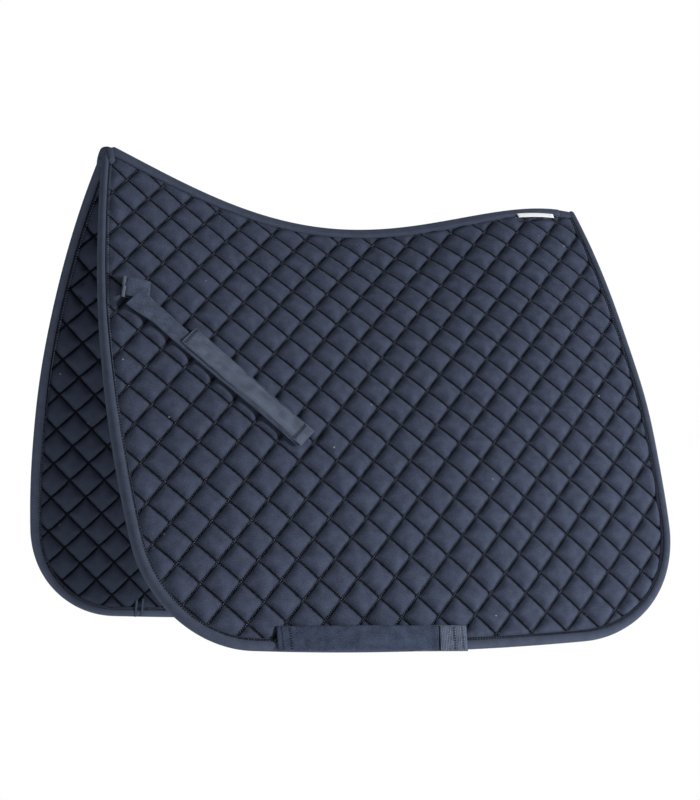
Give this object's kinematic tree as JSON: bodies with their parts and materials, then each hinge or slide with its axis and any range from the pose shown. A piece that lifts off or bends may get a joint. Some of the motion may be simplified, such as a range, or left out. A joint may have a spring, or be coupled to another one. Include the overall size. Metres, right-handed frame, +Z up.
{
  "type": "saddle pad",
  "caption": "Quilted saddle pad with a dipped spine, bound edges, girth keeper straps on the hem and hook-and-loop billet straps.",
  "frame": {"origin": "under the inner seam tape of the spine, at mid-length, where the pad rests on the horse's back", "axes": "+X towards the rear of the pad, +Y to the right-hand panel, +Z up; the withers end is at -X"},
  "size_m": [0.6535, 0.4892, 0.5463],
  "materials": {
    "cover_fabric": "navy cotton twill, quilted",
    "wadding": "polyester wadding",
    "lining_fabric": "navy wicking knit, quilted",
    "binding_tape": "navy twill binding, stitched",
    "webbing": "navy woven webbing",
    "hook_tape": "navy hook-and-loop tape",
    "label_satin": "blank white satin"
  },
  "bodies": {
    "arch": {"cover_arch_left": "cover_fabric", "cover_arch_right": "cover_fabric", "padding_arch_left": "wadding", "padding_arch_right": "wadding", "lining_arch_left": "lining_fabric", "lining_arch_right": "lining_fabric", "binding_front_left": "binding_tape", "binding_front_right": "binding_tape", "binding_rear_left": "binding_tape", "binding_rear_right": "binding_tape", "spine_tape": "binding_tape", "seam_tape": "binding_tape", "care_label": "label_satin"},
    "flap_left": {"cover_flap_left": "cover_fabric", "padding_flap_left": "wadding", "lining_flap_left": "lining_fabric", "binding_flap_left": "binding_tape", "girth_hem_left": "webbing", "girth_patch_left": "hook_tape", "billet_underlayer_left": "webbing", "billet_fold_left": "webbing"},
    "flap_right": {"cover_flap_right": "cover_fabric", "padding_flap_right": "wadding", "lining_flap_right": "lining_fabric", "binding_flap_right": "binding_tape", "girth_hem_right": "webbing", "girth_patch_right": "hook_tape", "billet_underlayer_right": "webbing", "billet_fold_right": "webbing"},
    "girth_left": {"girth_strap_left": "webbing"},
    "girth_right": {"girth_strap_right": "webbing"},
    "billet_left": {"billet_strap_left": "webbing", "billet_tape_left": "hook_tape"},
    "billet_right": {"billet_strap_right": "webbing", "billet_tape_right": "hook_tape"}
  },
  "joints": [
    {"name": "flap_lift_left", "type": "hinge", "parent": "arch", "child": "flap_left", "pos_m": [0, -0.06, -0.045], "axis": [-1, 0, 0], "range_deg": [-27, 60], "stiffness_Nm_per_rad": 1.5, "springref_deg": 10.31},
    {"name": "girth_strap_open_left", "type": "hinge", "parent": "flap_left", "child": "girth_left", "pos_m": [-0.17886, -0.2305, -0.42918], "axis": [0, -0.2529, -0.9675], "range_deg": [0, 110]},
    {"name": "billet_strap_open_left", "type": "hinge", "parent": "flap_left", "child": "billet_left", "pos_m": [-0.28929, -0.09469, -0.08685], "axis": [-0.722, -0.299, -0.624], "range_deg": [0, 110]},
    {"name": "flap_lift_right", "type": "hinge", "parent": "arch", "child": "flap_right", "pos_m": [0, 0.06, -0.045], "axis": [1, 0, 0], "range_deg": [-27, 60], "stiffness_Nm_per_rad": 1.5, "springref_deg": 10.31},
    {"name": "girth_strap_open_right", "type": "hinge", "parent": "flap_right", "child": "girth_right", "pos_m": [-0.17886, 0.2305, -0.42918], "axis": [0, -0.2529, 0.9675], "range_deg": [0, 110]},
    {"name": "billet_strap_open_right", "type": "hinge", "parent": "flap_right", "child": "billet_right", "pos_m": [-0.28929, 0.09469, -0.08685], "axis": [0.722, -0.299, 0.624], "range_deg": [0, 110]}
  ]
}
